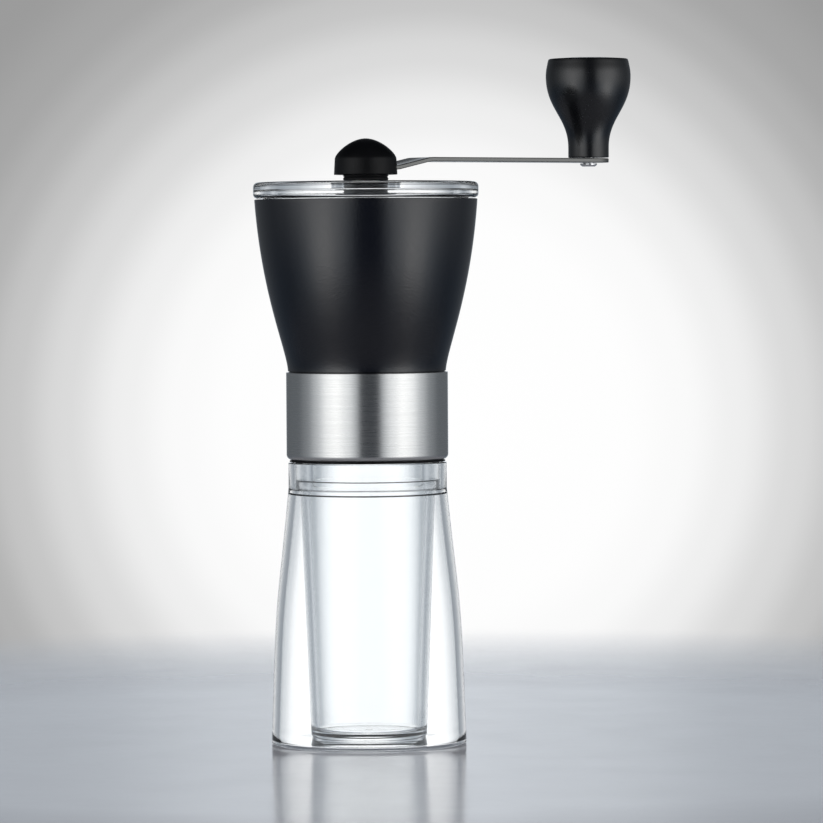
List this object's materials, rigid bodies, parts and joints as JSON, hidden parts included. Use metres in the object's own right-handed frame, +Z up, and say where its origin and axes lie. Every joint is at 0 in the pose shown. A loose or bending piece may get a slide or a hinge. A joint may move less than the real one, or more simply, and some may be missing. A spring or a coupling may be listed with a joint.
{
  "type": "hand crank coffee grinder",
  "caption": "Tall manual coffee grinder: clear double-walled jar, steel band, flared black bean hopper, clear lid, and a lift-off steel crank with a turned black knob.",
  "frame": {"origin": "centre of the jar's flat underside, on the axis of the shaft", "axes": "+Z up along the shaft, +X along the crank arm towards the knob"},
  "size_m": [0.151, 0.0788, 0.2417],
  "materials": {
    "clear_plastic": "clear moulded acrylic, polished, faint moulding lines",
    "hopper_plastic": "bluish black, fine spark-eroded texture, satin",
    "black_plastic": "plain black moulding, satin",
    "knob_plastic": "smooth black with a soft satin shine",
    "bearing_plastic": "natural low-friction moulding",
    "brushed_steel": "stainless steel brushed round its girth",
    "arm_steel": "stainless steel brushed along its length",
    "bright_steel": "turned bright steel",
    "spring_steel": "drawn spring wire and stamped clip steel",
    "ceramic": "fired white ceramic, fine ground faces",
    "seal": "translucent grey silicone"
  },
  "bodies": {
    "jar": {"jar_shell": "clear_plastic", "jar_cup": "clear_plastic", "jar_base": "clear_plastic"},
    "neck_ring": {"neck_seal": "seal"},
    "mill": {"thread_collar": "black_plastic", "steel_band": "brushed_steel", "hopper": "hopper_plastic", "burr_carrier": "black_plastic", "carrier_screw_1": "bright_steel", "carrier_screw_2": "bright_steel", "carrier_screw_3": "bright_steel", "outer_burr": "ceramic", "shaft_bushing": "bearing_plastic"},
    "drive": {"shaft": "bright_steel", "retaining_clip": "spring_steel", "spring_washer": "bright_steel", "burr_spring": "spring_steel"},
    "burr": {"inner_burr": "ceramic", "detent_washer": "bright_steel"},
    "dial": {"adjusting_dial": "black_plastic"},
    "lid_cover": {"lid": "clear_plastic"},
    "crank": {"hub_socket": "black_plastic", "hub_dome": "knob_plastic", "hub_screw": "bright_steel", "crank_arm": "arm_steel", "knob_pin": "bright_steel", "knob_washer": "bright_steel"},
    "knob": {"knob_body": "knob_plastic", "knob_cap": "knob_plastic"}
  },
  "joints": [
    {"name": "body_rise", "type": "slide", "parent": "jar", "child": "neck_ring", "axis": [0, 0, 1], "range_m": [0, 0.0061]},
    {"name": "body_unscrew", "type": "hinge", "parent": "neck_ring", "child": "mill", "pos_m": [0, 0, 0.112], "axis": [0, 0, 1], "range_deg": [0, 540]},
    {"name": "crank_turn", "type": "hinge", "parent": "mill", "child": "drive", "pos_m": [0, 0, 0.157], "axis": [0, 0, 1], "continuous": true},
    {"name": "burr_travel", "type": "slide", "parent": "drive", "child": "burr", "axis": [0, 0, 1], "range_m": [-0.002, 0], "deforming": ["burr_spring"]},
    {"name": "dial_turn", "type": "hinge", "parent": "burr", "child": "dial", "pos_m": [0, 0, 0.104], "axis": [0, 0, 1], "range_deg": [-722, 0]},
    {"name": "lid_lift", "type": "slide", "parent": "mill", "child": "lid_cover", "axis": [0, 0, 1], "range_m": [0, 0.0241]},
    {"name": "crank_lift", "type": "slide", "parent": "drive", "child": "crank", "axis": [0, 0, 1], "range_m": [0, 0.03]},
    {"name": "knob_spin", "type": "hinge", "parent": "crank", "child": "knob", "pos_m": [0.0963, 0, 0.2057], "axis": [0, 0, 1], "continuous": true}
  ],
  "couplings": [
    {"joint": "body_rise", "follows": "body_unscrew", "m_per_rad": 0.00063662},
    {"joint": "dial_turn", "follows": "burr_travel", "rad_per_m": 6283.2},
    {"joint": "lid_lift", "follows": "crank_lift", "ratio": 0.8}
  ]
}
